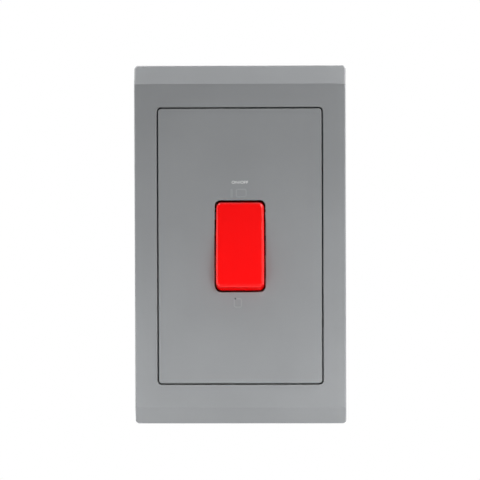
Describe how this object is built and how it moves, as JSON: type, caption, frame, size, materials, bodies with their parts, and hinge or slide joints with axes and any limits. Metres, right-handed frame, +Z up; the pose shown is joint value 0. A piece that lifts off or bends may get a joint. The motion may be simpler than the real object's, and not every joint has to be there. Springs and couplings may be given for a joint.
{
  "type": "double pole switch",
  "caption": "Tall grey wall plate with sloped ends and a red rocker that opens and closes both poles of a heavy circuit through see-saw contacts behind it.",
  "frame": {"origin": "on the wall plane, midway between the two fixing screws", "axes": "+Z up, +X to the right as seen from the room, +Y into the wall"},
  "size_m": [0.086, 0.035, 0.146],
  "materials": {
    "grey_plastic": "satin moulded",
    "carrier_plastic": "moulded",
    "red_plastic": "semi-gloss moulded",
    "black_plastic": "moulded",
    "white_plastic": "moulded",
    "thermoset": "moulded thermoset",
    "brass": "machined",
    "copper": "stamped",
    "silver": "formed",
    "plated_steel": "zinc plated",
    "spring_steel": "drawn wire"
  },
  "bodies": {
    "wall_unit": {"outer_frame": "grey_plastic", "front_panel": "grey_plastic", "mounting_plate": "carrier_plastic", "fixing_screws": "plated_steel", "switch_housing": "thermoset", "housing_screws": "plated_steel", "terminal_screws": "plated_steel", "earth_terminal": "brass", "earth_screws": "plated_steel", "line_fulcrum_strip": "copper", "line_fixed_strip": "copper", "line_fixed_tip": "silver", "line_supply_terminal": "brass", "line_load_terminal": "brass", "neutral_fulcrum_strip": "copper", "neutral_fixed_strip": "copper", "neutral_fixed_tip": "silver", "neutral_supply_terminal": "brass", "neutral_load_terminal": "brass"},
    "rocker": {"rocker": "red_plastic", "rocker_cradle": "black_plastic", "line_spring": "spring_steel", "neutral_spring": "spring_steel"},
    "line_plunger": {"line_plunger": "white_plastic"},
    "line_contact": {"line_moving_contact": "copper", "line_moving_tip": "silver"},
    "neutral_plunger": {"neutral_plunger": "white_plastic"},
    "neutral_contact": {"neutral_moving_contact": "copper", "neutral_moving_tip": "silver"}
  },
  "joints": [
    {"name": "rocker_tilt", "type": "hinge", "parent": "wall_unit", "child": "rocker", "pos_m": [0, -0.0045, 0], "axis": [1, 0, 0], "range_deg": [0, 14]},
    {"name": "line_plunger_slide", "type": "slide", "parent": "rocker", "child": "line_plunger", "axis": [0, -0.9925, 0.1219], "range_m": [0, 0.0008], "stiffness_N_per_m": 800, "springref_m": -0.003, "deforming": ["line_spring"]},
    {"name": "line_contact_tilt", "type": "hinge", "parent": "wall_unit", "child": "line_contact", "pos_m": [0.01, 0.0113, 0], "axis": [1, 0, 0], "range_deg": [-15.01, 0]},
    {"name": "neutral_plunger_slide", "type": "slide", "parent": "rocker", "child": "neutral_plunger", "axis": [0, -0.9925, 0.1219], "range_m": [0, 0.0008], "stiffness_N_per_m": 800, "springref_m": -0.003, "deforming": ["neutral_spring"]},
    {"name": "neutral_contact_tilt", "type": "hinge", "parent": "wall_unit", "child": "neutral_contact", "pos_m": [-0.01, 0.0113, 0], "axis": [1, 0, 0], "range_deg": [-15.01, 0]}
  ],
  "couplings": [
    {"joint": "line_contact_tilt", "follows": "rocker_tilt", "ratio": -1.0714},
    {"joint": "neutral_contact_tilt", "follows": "rocker_tilt", "ratio": -1.0714}
  ]
}
